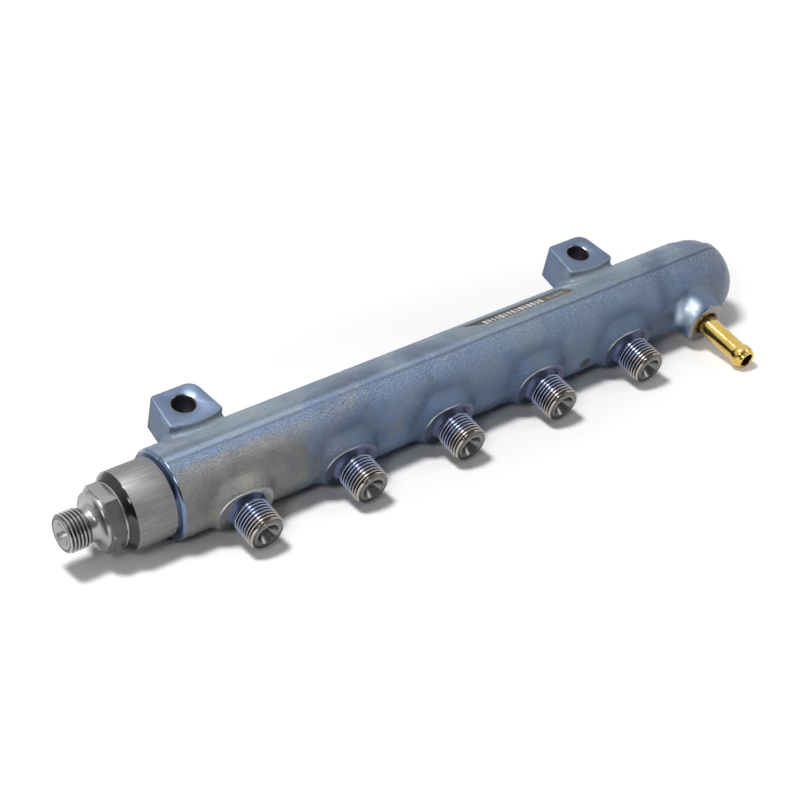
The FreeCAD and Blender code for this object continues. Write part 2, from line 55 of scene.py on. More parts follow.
# Sizes that the solids share, measured from the axis of the bore
BODY_RADIUS = 16.8 * MM
BACK_RADIUS = 16.5 * MM
BORE_END_X = 122.5 * MM
SHOULDER_X = -111.3 * MM
COLLAR_END_X = -129.0 * MM
SHANK_RADIUS = 8.0 * MM
PARTING_ANGLE = math.radians(-7.0)
STUB_FIRST_X = -88.0 * MM
STUB_PITCH = 44.0 * MM
STUB_COUNT = 5
PAD_HEIGHT = 19.3 * MM
STUB_RING_END = 20.6 * MM
STUB_HEIGHT = 32.3 * MM
STUB_RADIUS = 7.0 * MM
STUB_TIP_RADIUS = 6.2 * MM
SEAT_RADIUS = 4.3 * MM
NIPPLE_X = 126.7 * MM
BOSS_HEIGHT = 23.3 * MM
BOSS_RADIUS = 8.6 * MM
LUG_X = 90.4 * MM
LUG_TOP = 17.2 * MM
LUG_BOTTOM = 3.5 * MM
LUG_HOLE_RADIUS = 4.25 * MM
DENT_X = 68.8 * MM
DENT_ANGLE = math.radians(7.0)
RECESS_ANGLE = math.radians(66.0)
RECESS_OUTWARD = Vector((0.0, math.cos(RECESS_ANGLE), math.sin(RECESS_ANGLE)))
RECESS_FLOOR = 15.6 * MM

# The threaded sleeves are tubes, and the plain cores inside them are drawn in by the gap
SLEEVE_INNER_RADIUS = 5.3 * MM
CORE_GAP = 0.3 * MM

# A face whose middle is this close to a surface lies on it
NEAR = 0.05 * MM


# The panel's settings

COLOUR = {"subtype": "COLOR", "size": 3, "min": 0.0, "max": 1.0}
LENGTH = {"unit": "LENGTH", "precision": 4}


class FuelRailSettings(bpy.types.PropertyGroup):
    plating_blue: bpy.props.FloatVectorProperty(
        name="Plating blue", description="Main tint of the plated forging",
        default=(0.125, 0.180, 0.290), **COLOUR)
    plating_grey: bpy.props.FloatVectorProperty(
        name="Plating grey", description="Warm grey patches in the plating",
        default=(0.215, 0.210, 0.202), **COLOUR)
    machined_tint: bpy.props.FloatVectorProperty(
        name="Turned collar", description="Tint of the turned collar at the inlet end",
        default=(0.255, 0.255, 0.26), **COLOUR)
    thread_tint: bpy.props.FloatVectorProperty(
        name="Thread steel", description="Tint of the screw threads near the pads",
        default=(0.27, 0.31, 0.42), **COLOUR)
    worn_tint: bpy.props.FloatVectorProperty(
        name="Worn thread steel", description="Tint of the screw threads near their tips",
        default=(0.38, 0.355, 0.33), **COLOUR)
    fitting_tint: bpy.props.FloatVectorProperty(
        name="Fitting steel", description="Tint of the screwed inlet fitting",
        default=(0.37, 0.365, 0.36), **COLOUR)
    brass_tint: bpy.props.FloatVectorProperty(
        name="Brass", description="Tint of the return nipple",
        default=(0.72, 0.50, 0.14), **COLOUR)
    thread_pitch: bpy.props.FloatProperty(
        name="Thread pitch", description="Distance from crest to crest on the stubs",
        default=1.33 * MM, min=0.5 * MM, max=3.0 * MM, **LENGTH)
    thread_depth: bpy.props.FloatProperty(
        name="Thread depth", description="Height of the crests above the root",
        default=0.80 * MM, min=0.2 * MM, max=1.5 * MM, **LENGTH)
    inlet_pitch: bpy.props.FloatProperty(
        name="Inlet thread pitch", description="Distance from crest to crest on the inlet",
        default=1.33 * MM, min=0.5 * MM, max=3.0 * MM, **LENGTH)
    lamp_power: bpy.props.FloatProperty(
        name="Lamp power", description="Strength of the main lamp above the rail",
        unit="POWER", default=10.6, min=0.0, max=100.0)


def settings():
    return bpy.context.scene.fuel_rail


# Node helpers

def new_tree(name, kind, inputs, outputs):
    """A node group whose sockets are listed as (name, type) or (name, type, default)."""
    tree = bpy.data.node_groups.new(name, kind)
    for side, sockets in (("INPUT", inputs), ("OUTPUT", outputs)):
        for label, sort, *default in sockets:
            socket = tree.interface.new_socket(name=label, in_out=side, socket_type="NodeSocket" + sort)
            if default:
                socket.default_value = default[0]
    return tree


def find_node(tree, kind):
    return next(node for node in tree.nodes if node.type == kind)


class NodeWriter:
    """Adds nodes to a tree and wires them, so that formulas read in order."""

    def __init__(self, tree):
        self.tree = tree

    def node(self, kind, inputs=None, **properties):
        node = self.tree.nodes.new(kind)
        for name, value in properties.items():
            setattr(node, name, value)
        for name, value in (inputs or {}).items():
            self.feed(node.inputs[name], value)
        return node

    def feed(self, socket, value):
        if isinstance(value, bpy.types.NodeSocket):
            self.tree.links.new(value, socket)
        else:
            socket.default_value = value

    def math(self, operation, *values, clamp=False):
        node = self.node("ShaderNodeMath", dict(enumerate(values)), operation=operation, use_clamp=clamp)
        return node.outputs[0]

    def plus(self, first, second):
        return self.math("ADD", first, second)

    def minus(self, first, second):
        return self.math("SUBTRACT", first, second)

    def times(self, first, second, clamp=False):
        return self.math("MULTIPLY", first, second, clamp=clamp)

    def vector(self, operation, first, second=None, output="Vector"):
        """A formula on vectors, whose result is the node's Vector or Value."""
        inputs = {0: first} if second is None else {0: first, 1: second}
        return self.node("ShaderNodeVectorMath", inputs, operation=operation).outputs[output]

    def combine(self, **parts):
        return self.node("ShaderNodeCombineXYZ", parts).outputs[0]

    def span(self, value, low, high, to_low=0.0, to_high=1.0, kind="SMOOTHSTEP"):
        """The value's way from low to high, as a number from to_low to to_high."""
        node = self.node("ShaderNodeMapRange", {
            "Value": value, "From Min": low, "From Max": high, "To Min": to_low, "To Max": to_high},
            interpolation_type=kind)
        return node.outputs["Result"]

    def noise(self, place, scale, detail, roughness=0.5, distortion=0.0):
        node = self.node("ShaderNodeTexNoise", {
            "Vector": place, "Scale": scale, "Detail": detail,
            "Roughness": roughness, "Distortion": distortion})
        return node.outputs["Fac"]


def shaded(tint, share):
    return tuple(min(1.0, channel * share) for channel in tint)


# Shared shader groups

def build_mottle_group():
    """Soft patches and fine speckle for plated or worn metal."""
    tree = new_tree("Metal mottle", "ShaderNodeTree", (
        ("Patch size", "Float", 25.0), ("Speckle size", "Float", 900.0), ("Offset", "Vector"),
    ), (("Patches", "Float"), ("Speckle", "Float")))
    w = NodeWriter(tree)
    given = w.node("NodeGroupInput").outputs
    place = w.vector("ADD", w.node("ShaderNodeTexCoord").outputs["Object"], given["Offset"])
    w.node("NodeGroupOutput", {
        "Patches": w.noise(place, given["Patch size"], 5.0, 0.55, 0.6),
        "Speckle": w.noise(place, given["Speckle size"], 3.0, 0.6),
    })
    return tree


def build_turning_group():
    """Fine turning marks: rings at even steps along an axis, given as heights."""
    tree = new_tree("Turning marks", "ShaderNodeTree", (
        ("Axis", "Vector", (1.0, 0.0, 0.0)), ("Rings per metre", "Float", 3000.0),
    ), (("Height", "Float"),))
    w = NodeWriter(tree)
    given = w.node("NodeGroupInput").outputs
    place = w.node("ShaderNodeTexCoord").outputs["Object"]
    along = w.vector("DOT_PRODUCT", place, given["Axis"], "Value")
    step = w.times(along, given["Rings per metre"])
    rings = w.node("ShaderNodeTexNoise", {"W": step, "Scale": 1.0, "Detail": 2.0}, noise_dimensions="1D")
    w.node("NodeGroupOutput", {"Height": rings.outputs["Fac"]})
    return tree


class FinishWriter(NodeWriter):
    """A material under construction, with its Principled shader and object coordinates at hand."""

    def __init__(self, name, metallic, roughness):
        self.material = bpy.data.materials.new(name)
        self.material.use_nodes = True
        super().__init__(self.material.node_tree)
        self.shader = find_node(self.tree, "BSDF_PRINCIPLED")
        self.shader.inputs["Metallic"].default_value = metallic
        self.shader.inputs["Roughness"].default_value = roughness
        self.place = self.node("ShaderNodeTexCoord").outputs["Object"]
        self.x, self.y, self.z = self.node("ShaderNodeSeparateXYZ", {0: self.place}).outputs

    def group(self, tree, inputs):
        return self.node("ShaderNodeGroup", inputs, node_tree=tree).outputs

    def mottled(self, tree, patch_size, speckle_size, offset=(0.0, 0.0, 0.0)):
        """Patches and speckle from the shared group."""
        return self.group(tree, {"Patch size": patch_size, "Speckle size": speckle_size, "Offset": offset})

    def turned(self, tree, axis, rings=4200.0):
        """Heights of the turning marks from the shared group."""
        return self.group(tree, {"Axis": axis, "Rings per metre": rings})["Height"]

    def about_bore(self):
        """How far a spot lies across and above the bore's axis, and its angle round it from the top."""
        across = self.minus(self.y, AXIS_Y)
        height = self.minus(self.z, AXIS_Z)
        return across, height, self.math("ARCTAN2", across, height)

    def beside_stub(self):
        """Offset along the rail from the nearest stub's axis."""
        steps = self.math("DIVIDE", self.minus(self.x, STUB_FIRST_X), STUB_PITCH)
        nearest = self.math("MINIMUM", self.math("ROUND", steps), STUB_COUNT - 1.0)
        return self.minus(self.x, self.math("MULTIPLY_ADD", nearest, STUB_PITCH, STUB_FIRST_X))

    def ramp(self, factor, stops):
        node = self.node("ShaderNodeValToRGB", {"Fac": factor})
        elements = node.color_ramp.elements
        while len(elements) > 1:
            elements.remove(elements[-1])
        elements[0].position = stops[0][0]
        for position, _ in stops[1:]:
            elements.new(position)
        for element, (_, colour) in zip(elements, stops):
            element.color = (*colour, 1.0)
        return node.outputs["Color"]

    def blend(self, factor, first, second):
        node = self.node("ShaderNodeMix", data_type="RGBA")
        colours = [socket for socket in node.inputs if socket.type == "RGBA"]
        self.feed(node.inputs[0], factor)
        for socket, value in zip(colours, (first, second)):
            self.feed(socket, value if isinstance(value, bpy.types.NodeSocket) else (*value, 1.0))
        return next(socket for socket in node.outputs if socket.type == "RGBA")

    def bump(self, height, distance, strength=1.0, normal=None):
        node = self.node("ShaderNodeBump", {"Height": height, "Distance": distance, "Strength": strength})
        if normal is not None:
            self.feed(node.inputs["Normal"], normal)
        return node.outputs["Normal"]

    def finish(self, colour, roughness=None, normal=None):
        for name, value in (("Base Color", colour), ("Roughness", roughness), ("Normal", normal)):
            if value is not None:
                self.feed(self.shader.inputs[name], value)
        return self.material


# Finishes, and the directions that their turning marks follow in the frame

ALONG = (1.0, 0.0, 0.0)
ACROSS_PADS = (0.7, 0.0, 0.7)
ALONG_STUBS = (0.0, 1.0, 0.0)
SLANTED = (0.6, 0.8, 0.0)


def plated_forging(mottle):
    """Blue plating over a grainy forging, with grey patches, painted light and shade along the parting line
    and round the pads, painted glints on the grain and a painted highlight on the glossy boss.
    """
    f = FinishWriter("Plated forging", 0.60, 0.55)
    patches, speckle = f.mottled(mottle, 34.0, 2300.0)
    clouds, grain = f.mottled(mottle, 110.0, 1100.0, (0.3, 0.1, 0.2))
    across, height, around = f.about_bore()

    colour = thin_plating(f, patches, clouds, around)
    colour = ridge_tone_and_painted_light(f, colour, patches, clouds, around)

    # Pale flecks of grain as painted glints, strongest just in front of the parting line where the lamp's
    # highlight falls and fading down the side, and dark pits all over
    grain_glint, pit = (0.44, 0.49, 0.54), (0.070, 0.090, 0.130)
    in_front = f.span(around, PARTING_ANGLE, PARTING_ANGLE - 0.05)
    band = f.times(f.span(around, -0.75, -0.22), in_front)
    share = f.math("MULTIPLY_ADD", band, 0.40, 0.12)
    colour = f.blend(f.times(f.span(speckle, 0.50, 0.66), share), colour, grain_glint)
    colour = f.blend(f.times(f.span(grain, 0.46, 0.34), 0.35), colour, pit)

    colour = pad_tone_and_painted_shade(f, colour, across, height)

    # The blend round the nipple's boss is smoother, with a painted highlight on its left flank inside a
    # halo of painted dark reflection, and the dome is smooth too
    halo, flank_highlight = (0.065, 0.100, 0.170), (0.60, 0.72, 0.86)
    flank = (NIPPLE_X - 6.5 * MM, AXIS_Y - 18.0 * MM, AXIS_Z + 4.5 * MM)
    from_flank = f.vector("DISTANCE", f.place, flank, "Value")
    gloss = f.span(from_flank, 14.0 * MM, 6.0 * MM)
    colour = f.blend(f.times(gloss, 0.45), colour, halo)
    colour = f.blend(f.times(f.span(from_flank, 7.5 * MM, 3.0 * MM), 0.80), colour, flank_highlight)
    gloss = f.math("MAXIMUM", gloss, f.span(f.x, 138.0 * MM, 144.0 * MM, 0.0, 0.8))

    rough = f.math("MULTIPLY_ADD", gloss, -0.24, f.span(patches, 0.30, 0.70, 0.52, 0.66, "LINEAR"))
    strength = f.math("MULTIPLY_ADD", band, 0.45, 0.55)
    strength = f.math("MULTIPLY_ADD", gloss, -0.50, strength, clamp=True)
    normal = f.bump(f.noise(f.place, 120.0, 2.0), 0.3 * MM)
    normal = f.bump(speckle, 0.22 * MM, strength, normal)
    normal = f.bump(grain, 0.30 * MM, strength, normal)
    return f.finish(colour, rough, normal)


def thin_plating(f, patches, clouds, around):
    """Blue plating, thin and grey on the lower front toward the inlet, in streaks and on the dome."""
    tint = settings()
    pale, haze, straw = (0.155, 0.210, 0.305), (0.200, 0.240, 0.285), (0.250, 0.240, 0.205)
    blue = f.ramp(patches, [
        (0.36, shaded(tint.plating_blue, 0.68)), (0.49, tuple(tint.plating_blue)),
        (0.58, pale), (0.68, haze)])
    grey = f.ramp(clouds, [
        (0.35, shaded(tint.plating_grey, 0.82)), (0.55, tuple(tint.plating_grey)), (0.72, straw)])
    wander = f.math("MULTIPLY_ADD", f.minus(patches, 0.5), 140.0 * MM, f.x)
    zone = f.times(f.span(wander, -45.0 * MM, -75.0 * MM), f.span(around, -0.20, -0.42))
    dome = f.times(f.span(wander, 125.0 * MM, 150.0 * MM), 0.50)
    toward_inlet = f.span(f.x, 50.0 * MM, -30.0 * MM, 0.12, 0.50)
    streaks = f.times(f.span(clouds, 0.50, 0.68), toward_inlet)
    mask = f.math("MAXIMUM", f.math("MAXIMUM", zone, dome), streaks, clamp=True)
    return f.blend(mask, blue, grey)


def ridge_tone_and_painted_light(f, colour, patches, clouds, around):
    """Painted light and shade along the parting line: a pale greenish top behind it, lit from above and
    patchy in tone, a darker strip of painted shade beside it, and a dark line of painted shade in its
    crease.
    """
    worn, shade, crease_shade = (0.260, 0.310, 0.350), (0.075, 0.115, 0.185), (0.055, 0.070, 0.105)
    behind = f.span(around, PARTING_ANGLE, PARTING_ANGLE + 0.04)
    top = f.times(behind, f.span(around, 0.95, 0.60))
    # Painted light: the top is paler where the light from above falls, in patches
    colour = f.blend(f.times(top, f.span(patches, 0.40, 0.58, 0.22, 0.78)), colour, worn)
    crown = f.times(f.span(around, -0.75, -0.12), f.span(around, 0.16, 0.06))
    # Painted shade: a darker strip along the parting line
    colour = f.blend(f.times(crown, 0.32), colour, shade)
    # Painted shade: a dark wavering line in the parting line's crease
    sway = f.math("MULTIPLY_ADD", f.minus(clouds, 0.5), 0.06, around)
    off_line = f.math("ABSOLUTE", f.minus(sway, PARTING_ANGLE + 0.012))
    return f.blend(f.times(f.span(off_line, 0.055, 0.012), 0.62), colour, crease_shade)


def pad_tone_and_painted_shade(f, colour, across, height):
    """Deeper blue round the pads, except at the grey inlet end: partly the plating's tone and partly
    painted shade that hides the light on the mounds round the pads.
    """
    deep_blue_and_shade = (0.062, 0.098, 0.165)
    from_pad = f.vector("LENGTH", f.combine(X=f.beside_stub(), Y=height), output="Value")
    # Partly tone and partly painted shade, on the front round each pad
    pad_tone_and_shade_mask = f.times(f.span(from_pad, 20.0 * MM, 11.0 * MM), f.span(f.x, -72.0 * MM, -55.0 * MM, 0.0, 0.60))
    return f.blend(f.times(pad_tone_and_shade_mask, f.span(across, -8.0 * MM, -13.0 * MM)), colour, deep_blue_and_shade)


def uneven(f, patches, roughness):
    return f.span(patches, 0.30, 0.70, roughness * 0.8, roughness * 1.25, "LINEAR")


def turned_metal(name, tint, mottle, turning, axis, roughness, streaks):
    """Turned metal with fine rings along an axis, and lighter and darker streaks along the rail where
    wanted.
    """
    f = FinishWriter(name, 1.0, roughness)
    patches = f.mottled(mottle, 60.0, 1200.0)["Patches"]
    marks = f.turned(turning, axis)
    colour = f.ramp(patches, [(0.30, shaded(tint, 0.80)), (0.55, tuple(tint)), (0.75, shaded(tint, 1.15))])
    colour = f.blend(f.span(marks, 0.35, 0.70, 0.0, 0.30), colour, shaded(tint, 0.6))
    if streaks:
        along_and_around = f.combine(X=f.times(f.x, 6.0), Y=f.about_bore()[2])
        lines = f.noise(along_and_around, 15.0, 3.0, 0.6)
        colour = f.blend(f.span(lines, 0.45, 0.66, 0.0, streaks), colour, shaded(tint, 1.6))
        colour = f.blend(f.span(lines, 0.50, 0.34, 0.0, streaks), colour, shaded(tint, 0.5))
    return f.finish(colour, uneven(f, patches, roughness), f.bump(marks, 0.02 * MM))


def thread_finish(name, base_tint, tip_tint, mottle, roughness):
    """Thread with painted shade in the roots and painted highlights on the crests, from the height that the
    sleeve stores on its points.

    On the stubs the tint turns from the pad's side to the tip, where the plating is worn off."""
    f = FinishWriter(name, 1.0, roughness)
    patches, speckle = f.mottled(mottle, 140.0, 1200.0)
    wander = f.math("MULTIPLY_ADD", f.minus(patches, 0.5), 5.0 * MM, f.y)
    tint = f.blend(f.span(wander, AXIS_Y - 25.5 * MM, AXIS_Y - 30.0 * MM), base_tint, tip_tint)
    crest = f.node("ShaderNodeAttribute", attribute_name="crest").outputs["Fac"]
    # Painted shade and highlight: the tint is darkened to a quarter in the roots and brightened past itself
    # on the crests
    shade = f.span(crest, 0.15, 0.95, 0.24, 1.15, "LINEAR")
    colour = f.node("ShaderNodeVectorMath", {0: tint, "Scale": shade}, operation="SCALE").outputs[0]
    return f.finish(colour, uneven(f, patches, roughness), f.bump(speckle, 0.02 * MM))


def pad_painted_reflection(name, dark, light, lean, start, mottle, turning, roughness):
    """Faced pad metal with painted light and shade: dark beside each stub as painted shade, and light as a
    painted highlight where the offset times the lean passes start.

    The first pad stands in the grey zone, where the blue plating is thin."""
    f = FinishWriter(name, 1.0, roughness)
    patches = f.mottled(mottle, 160.0, 1200.0)["Patches"]
    marks = f.turned(turning, ACROSS_PADS)
    height = f.times(f.minus(f.z, AXIS_Z), lean[1])
    toward = f.math("MULTIPLY_ADD", f.beside_stub(), lean[0], height)
    # Painted reflection: dark on the side toward the stub and light past the start along the lean
    colour = f.blend(f.span(toward, start, start + 4.0 * MM), dark, light)
    faded = f.node("ShaderNodeHueSaturation", {"Saturation": 0.15, "Value": 1.35, "Color": colour})
    colour = f.blend(f.span(f.x, -60.0 * MM, -70.0 * MM), colour, faded.outputs["Color"])
    colour = f.blend(f.span(patches, 0.45, 0.70, 0.0, 0.3), colour, shaded(dark, 0.6))
    return f.finish(colour, None, f.bump(marks, 0.02 * MM))


def brass_finish(mottle, turning):
    f = FinishWriter("Turned brass", 1.0, 0.16)
    tint = settings().brass_tint
    patches = f.mottled(mottle, 120.0, 1500.0)["Patches"]
    marks = f.turned(turning, ALONG_STUBS, 3500.0)
    colour = f.ramp(patches, [(0.30, shaded(tint, 0.86)), (0.60, tuple(tint)), (0.80, (0.84, 0.60, 0.20))])
    rough = f.span(patches, 0.3, 0.7, 0.09, 0.17, "LINEAR")
    return f.finish(colour, rough, f.bump(marks, 0.01 * MM))


def mottled_finish(name, mottle, metallic, roughness, sizes, dark, light, bump):
    """Plain mottled surface, as on printed film, ink, drilled walls and the hardness mark."""
    f = FinishWriter(name, metallic, roughness)
    patches, speckle = f.mottled(mottle, *sizes)
    return f.finish(f.ramp(patches, [(0.3, dark), (0.7, light)]), None, f.bump(speckle, bump))


FINISHES = {}


def finishes():
    """All finishes, made once on first use."""
    if FINISHES:
        return FINISHES
    tint = settings()
    mottle, turning = build_mottle_group(), build_turning_group()
    FINISHES["forging"] = plated_forging(mottle)
    # Key, name, tint, axis of the rings, roughness and strength of the streaks along the rail
    turned = (
        ("collar", "Turned collar", tint.machined_tint, ALONG, 0.60, 0.22),
        # The front chamfer is tinted near black as a painted dark reflection
        ("collar_edge_dark_reflection", "Collar edge painted dark reflection", (0.060, 0.060, 0.065), ALONG, 0.14, 0.0),
        ("ring", "Polished ring", (0.045, 0.065, 0.115), ALONG, 0.14, 0.0),
        ("shoulder", "Polished shoulder", (0.150, 0.200, 0.310), ALONG, 0.20, 0.0),
        ("boss_face", "Faced boss", (0.27, 0.25, 0.23), ACROSS_PADS, 0.28, 0.0),
        ("lug_face", "Milled lug faces", (0.170, 0.225, 0.330), SLANTED, 0.42, 0.0),
        ("seat", "Pipe seat", (0.20, 0.20, 0.21), ALONG_STUBS, 0.22, 0.0),
        ("stub_ring", "Stub rings", (0.090, 0.105, 0.190), ALONG_STUBS, 0.30, 0.0),
        ("tip", "Faced stub tips", (0.22, 0.21, 0.20), ACROSS_PADS, 0.32, 0.0),
        ("fitting", "Fitting steel", tint.fitting_tint, ALONG, 0.29, 0.0),
    )
    for key, name, colour, axis, roughness, streaks in turned:
        FINISHES[key] = turned_metal(name, colour, mottle, turning, axis, roughness, streaks)
    threads = (
        ("thread", "Thread steel", tint.thread_tint, tint.worn_tint, 0.20),
        ("inlet_thread", "Inlet thread steel", tint.fitting_tint, tint.fitting_tint, 0.34),
    )
    for key, name, base_tint, tip_tint, roughness in threads:
        FINISHES[key] = thread_finish(name, base_tint, tip_tint, mottle, roughness)
    # Pads with painted light and shade: key, name, dark tint, light tint, lean, start and roughness
    pads = (
        ("faced", "Faced pads painted light and shade", (0.050, 0.060, 0.095), (0.115, 0.125, 0.215), (1.0, 0.5), 0.0, 0.40),
        ("rim", "Pad rims painted highlight", (0.070, 0.085, 0.135), (0.52, 0.52, 0.51), (-0.35, 0.9), 5.0 * MM, 0.36),
    )
    for key, name, dark, light, lean, start, roughness in pads:
        FINISHES[key] = pad_painted_reflection(name, dark, light, lean, start, mottle, turning, roughness)
    FINISHES["brass"] = brass_finish(mottle, turning)
    grey, pale = (0.38, 0.38, 0.37), (0.58, 0.58, 0.57)
    film, ink, metal = (150.0, 2200.0), (400.0, 2500.0), (200.0, 1800.0)
    # Key, name, metallic, roughness, sizes of the mottle, its two tints and its height
    plain = (
        ("label", "Label film", 0.0, 0.6, film, (0.070, 0.062, 0.055), (0.115, 0.105, 0.092), 0.03 * MM),
        ("ink", "Label ink", 0.0, 0.55, ink, grey, pale, 0.01 * MM),
        ("faint_ink", "Faint label ink", 0.0, 0.55, ink, shaded(grey, 0.4), shaded(pale, 0.4), 0.01 * MM),
        ("bore", "Drilled wall", 0.9, 0.5, metal, (0.060, 0.065, 0.085), (0.120, 0.125, 0.155), 0.04 * MM),
        ("dent", "Hardness mark", 0.3, 0.5, metal, (0.030, 0.033, 0.042), (0.055, 0.060, 0.074), 0.04 * MM),
    )
    for key, name, *look in plain:
        FINISHES[key] = mottled_finish(name, mottle, *look)
    return FINISHES


# Mesh helpers

def add_object(name, data):
    thing = bpy.data.objects.new(name, data)
    bpy.context.scene.collection.objects.link(thing)
    return thing


def smooth(mesh, degrees):
    mesh.shade_smooth()
    mesh.set_sharp_from_angle(angle=math.radians(degrees))


def on_rail(x, y, z):
    """A point given from the axis of the bore, in the frame."""
    return Vector((x, y + AXIS_Y, z + AXIS_Z))


def from_rail(point):
    return Vector((point.x, point.y - AXIS_Y, point.z - AXIS_Z))


def core_radius():
    """Radius of the plain cores that the threaded sleeves stand round."""
    return STUB_RADIUS - settings().thread_depth - CORE_GAP


def join_rings(work, rings, closed):
    """Faces between rings of equally many vertices; where closed, the last ring also meets the first."""
    followers = rings[1:] + rings[:1] if closed else rings[1:]
    for first, second in zip(rings, followers):
        for step in range(len(first)):
            after = (step + 1) % len(first)
            work.faces.new((first[step], first[after], second[after], second[step]))


def lathe(profile, segments, place):
    """A tube: a closed outline of (along, radius) turned about the local X axis, then placed."""
    work = bmesh.new()
    angles = [2.0 * math.pi * step / segments for step in range(segments)]
    rings = []
    for along, radius in profile:
        spots = [(along, radius * math.cos(angle), radius * math.sin(angle)) for angle in angles]
        rings.append([work.verts.new(spot) for spot in spots])
    join_rings(work, rings, closed=True)
    bmesh.ops.recalc_face_normals(work, faces=work.faces[:])
    work.transform(place)
    return work


def to_mesh(work, name):
    mesh = bpy.data.meshes.new(name)
    work.to_mesh(mesh)
    work.free()
    return mesh


def finished_piece(name, work, finish, degrees):
    """A piece of one finish, smooth up to the given angle."""
    mesh = to_mesh(work, name)
    mesh.materials.append(finishes()[finish])
    smooth(mesh, degrees)
    return add_object(name, mesh)


# Geometry trees

def build_thread_tree():
    """Threaded sleeves in a row: a closed tube with a helical outside, repeated along X."""
    tree = new_tree("Threaded sleeves", "GeometryNodeTree", (
        ("Crest radius", "Float", 7.0 * MM), ("Root radius", "Float", 6.2 * MM),
        ("Inner radius", "Float", 5.2 * MM), ("Tip radius", "Float", 6.2 * MM),
        ("Pitch", "Float", 1.33 * MM), ("Length", "Float", 11.7 * MM),
        ("Count", "Int", 1), ("Spacing", "Float", 44.0 * MM),
        ("Start", "Vector"), ("Turn", "Vector"), ("Finish", "Material"),
    ), (("Geometry", "Geometry"),))
    w = NodeWriter(tree)
    given = w.node("NodeGroupInput").outputs
    # Columns go once round the sleeve, and the last row falls on the first one's place
    columns, rows_per_pitch, rows = 97, 14, 142
    root_share, flank_share, rounding, nudge = 0.20, 0.62, 0.6, 0.0001
    grid = w.node("GeometryNodeMeshGrid", {
        "Size X": 1.0, "Size Y": 1.0, "Vertices X": columns, "Vertices Y": rows})
    parts = w.node("ShaderNodeSeparateXYZ", {0: w.node("GeometryNodeInputPosition").outputs[0]})
    turn = w.plus(parts.outputs[0], 0.5)
    row = w.math("ROUND", w.times(w.plus(parts.outputs[1], 0.5), rows - 1.0))
    # The first row and the last two close the tube on its inside; the rest climb with the helix
    step = w.math("DIVIDE", w.minus(row, 1.0), float(rows_per_pitch))
    climb = w.times(w.minus(w.plus(step, turn), 1.0), given["Pitch"])
    is_first = w.math("LESS_THAN", row, 0.5)
    is_last = w.math("GREATER_THAN", row, rows - 1.5)
    at_start = w.math("MAXIMUM", is_first, is_last)
    inside = w.math("MAXIMUM", is_first, w.math("GREATER_THAN", row, rows - 2.5))
    outside = w.minus(1.0, inside)
    reach = w.times(w.minus(inside, at_start), given["Length"])
    climb = w.math("MULTIPLY_ADD", climb, outside, reach)
    along = w.math("MAXIMUM", w.math("MINIMUM", climb, given["Length"]), 0.0)
    # Height of the crest over one pitch: a flat root, two flanks and a narrow flat crest
    phase = w.math("FRACT", w.plus(step, nudge))
    tent = w.math("ABSOLUTE", w.minus(w.times(phase, 2.0), 1.0))
    crest = w.times(w.minus(tent, root_share), 1.0 / flank_share, clamp=True)
    rounded = w.span(crest, 0.0, 1.0)
    crest = w.math("MULTIPLY_ADD", w.minus(rounded, crest), rounding, crest)
    crest = w.times(crest, w.math("DIVIDE", along, given["Pitch"], clamp=True))
    depth = w.minus(given["Crest radius"], given["Root radius"])
    radius = w.math("MULTIPLY_ADD", crest, depth, given["Root radius"])
    chamfer = w.plus(given["Tip radius"], w.minus(given["Length"], along))
    radius = w.math("MINIMUM", radius, chamfer)
    radius = w.math("MULTIPLY_ADD", w.minus(given["Inner radius"], radius), inside, radius)
    angle = w.times(turn, 2.0 * math.pi)
    spot = w.combine(
        X=w.times(radius, w.math("COSINE", angle)),
        Y=w.times(along, -1.0),
        Z=w.times(radius, w.math("SINE", angle)))
    marked = w.node("GeometryNodeStoreNamedAttribute", {
        "Geometry": grid.outputs["Mesh"], "Name": "crest", "Value": w.times(crest, outside)},
        data_type="FLOAT", domain="POINT")
    moved = w.node("GeometryNodeSetPosition", {"Geometry": marked.outputs[0], "Position": spot})
    joined = w.node("GeometryNodeMergeByDistance", {"Geometry": moved.outputs[0], "Distance": 0.02 * MM})
    turned = w.node("GeometryNodeTransform", {"Geometry": joined.outputs[0], "Rotation": given["Turn"]})
    line = w.node("GeometryNodeMeshLine", {
        "Count": given["Count"], "Start Location": given["Start"], "Offset": w.combine(X=given["Spacing"])},
        mode="OFFSET")
    realize_and_shade(w, {"Points": line.outputs[0], "Instance": turned.outputs[0]}, given["Finish"])
    return tree


def build_label_tree():
    """Blank printed fields: a row of thin plates of uneven width along X, from a fixed seed."""
    tree = new_tree("Label fields", "GeometryNodeTree", (
        ("Length", "Float", 30.0 * MM), ("Height", "Float", 3.0 * MM), ("Thickness", "Float", 0.05 * MM),
        ("Count", "Int", 12), ("Seed", "Int", 4), ("Finish", "Material"),
    ), (("Geometry", "Geometry"),))
    w = NodeWriter(tree)
    given = w.node("NodeGroupInput").outputs
    narrowest, widest = 0.35, 0.85
    step = w.math("DIVIDE", given["Length"], given["Count"])
    line = w.node("GeometryNodeMeshLine", {
        "Count": given["Count"], "Offset": w.combine(X=step)}, mode="OFFSET")
    plate = w.node("GeometryNodeMeshCube", {
        "Size": w.combine(X=step, Y=given["Height"], Z=given["Thickness"])})
    width = w.node("FunctionNodeRandomValue", {
        2: narrowest, 3: widest, "Seed": given["Seed"]}, data_type="FLOAT")
    scale = w.combine(X=width.outputs[1], Y=1.0, Z=1.0)
    realize_and_shade(
        w, {"Points": line.outputs[0], "Instance": plate.outputs["Mesh"], "Scale": scale}, given["Finish"])
    return tree


